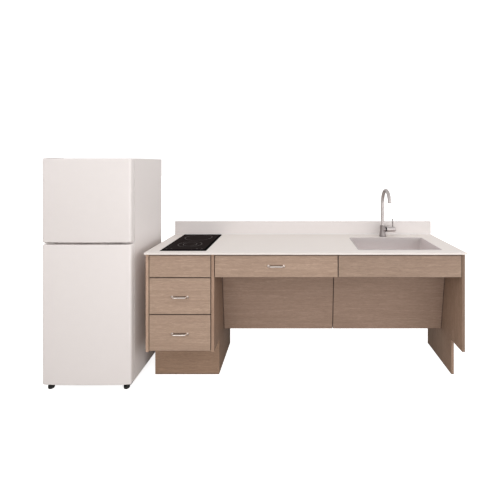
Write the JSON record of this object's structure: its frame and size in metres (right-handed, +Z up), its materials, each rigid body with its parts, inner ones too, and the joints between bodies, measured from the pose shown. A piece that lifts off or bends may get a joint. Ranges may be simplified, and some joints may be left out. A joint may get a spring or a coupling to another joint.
{
  "type": "mini kitchen unit",
  "caption": "Small kitchen run with a drawer base, open knee space, sink with swivel tap and domino hob, beside an upright fridge-freezer with doors.",
  "frame": {"origin": "on the floor, at the middle of the whole unit's outline", "axes": "+Z up, +X along the wall to the right seen from the front, +Y back to the wall"},
  "size_m": [2.816, 0.64, 1.542],
  "materials": {
    "worktop_white": "satin solid surface",
    "oak": "matt horizontal-grain taupe oak",
    "birch_board": "clear-lacquered board",
    "zinc_plate": "zinc plated",
    "sink_steel": "satin",
    "tap_steel": "satin",
    "pull_nickel": "satin nickel",
    "white_plastic": "moulded",
    "black_plastic": "moulded",
    "hob_black": "polished glass ceramic",
    "element_white": "insulation and heating band",
    "fridge_paint": "semi-gloss enamel",
    "liner_plastic": "vacuum-formed",
    "clear_plastic": "clear",
    "gasket": "soft",
    "compressor_black": "matt black"
  },
  "bodies": {
    "unit": {"worktop": "worktop_white", "backsplash": "worktop_white", "base_left_side": "oak", "base_right_side": "oak", "base_floor": "birch_board", "base_back": "birch_board", "base_rails": "birch_board", "hob_false_front": "oak", "plinth_board": "oak", "end_panel": "oak", "sink_false_front": "oak", "apron_rails": "birch_board", "apron_divider": "birch_board", "knee_panels": "oak", "knee_panel_cleats": "birch_board", "runner_channels": "zinc_plate", "sink_bowl": "sink_steel", "sink_strainer": "sink_steel", "drain_trap": "white_plastic", "tap_body": "tap_steel", "tap_underdeck": "zinc_plate", "hob_glass": "hob_black", "hob_case": "zinc_plate", "hob_elements": "element_white", "fridge_cabinet": "fridge_paint", "fridge_liners": "liner_plastic", "fridge_feet": "black_plastic", "door_hinges": "zinc_plate", "compressor": "compressor_black", "condenser": "compressor_black", "fridge_shelves": "clear_plastic", "crisper_drawer": "clear_plastic", "evaporator_cover": "liner_plastic", "control_box": "liner_plastic"},
    "upper_drawer": {"upper_drawer_front": "oak", "upper_drawer_box": "birch_board", "upper_drawer_pull": "pull_nickel", "upper_drawer_slides": "zinc_plate"},
    "lower_drawer": {"lower_drawer_front": "oak", "lower_drawer_box": "birch_board", "lower_drawer_pull": "pull_nickel", "lower_drawer_slides": "zinc_plate"},
    "apron_drawer": {"apron_drawer_front": "oak", "apron_drawer_box": "birch_board", "apron_drawer_pull": "pull_nickel", "apron_drawer_slides": "zinc_plate"},
    "fridge_door": {"fridge_door_panel": "fridge_paint", "fridge_door_liner": "liner_plastic", "fridge_door_bins": "clear_plastic", "fridge_door_gasket": "gasket"},
    "freezer_door": {"freezer_door_panel": "fridge_paint", "freezer_door_liner": "liner_plastic", "freezer_door_gasket": "gasket"},
    "spout": {"tap_spout": "tap_steel", "tap_aerator": "tap_steel"},
    "cartridge": {"tap_cartridge": "black_plastic"},
    "handle": {"tap_handle": "tap_steel", "tap_lever": "tap_steel"},
    "basket": {"strainer_basket": "sink_steel"},
    "knob": {"thermostat_knob": "liner_plastic"}
  },
  "joints": [
    {"name": "upper_drawer_slide", "type": "slide", "parent": "unit", "child": "upper_drawer", "axis": [0, -1, 0], "range_m": [0, 0.34]},
    {"name": "lower_drawer_slide", "type": "slide", "parent": "unit", "child": "lower_drawer", "axis": [0, -1, 0], "range_m": [0, 0.34]},
    {"name": "apron_drawer_slide", "type": "slide", "parent": "unit", "child": "apron_drawer", "axis": [0, -1, 0], "range_m": [0, 0.34]},
    {"name": "fridge_door_hinge", "type": "hinge", "parent": "unit", "child": "fridge_door", "pos_m": [-1.392, -0.288, 0.502], "axis": [0, 0, -1], "range_deg": [0, 110]},
    {"name": "freezer_door_hinge", "type": "hinge", "parent": "unit", "child": "freezer_door", "pos_m": [-1.392, -0.288, 1.26], "axis": [0, 0, -1], "range_deg": [0, 110]},
    {"name": "spout_swivel", "type": "hinge", "parent": "unit", "child": "spout", "pos_m": [0.984, 0.225, 1.003], "axis": [0, 0, 1], "range_deg": [-100, 100]},
    {"name": "temperature_turn", "type": "hinge", "parent": "unit", "child": "cartridge", "pos_m": [1.002, 0.225, 0.971], "axis": [1, 0, 0], "range_deg": [-45, 45]},
    {"name": "flow_tilt", "type": "hinge", "parent": "cartridge", "child": "handle", "pos_m": [1.002, 0.225, 0.971], "axis": [0, 1, 0], "range_deg": [0, 15]},
    {"name": "basket_lift", "type": "slide", "parent": "unit", "child": "basket", "axis": [0, 0, 1], "range_m": [0, 0.1]},
    {"name": "thermostat_turn", "type": "hinge", "parent": "unit", "child": "knob", "pos_m": [-1.113, -0.17, 0.917], "axis": [0, -1, 0], "range_deg": [0, 270]}
  ]
}
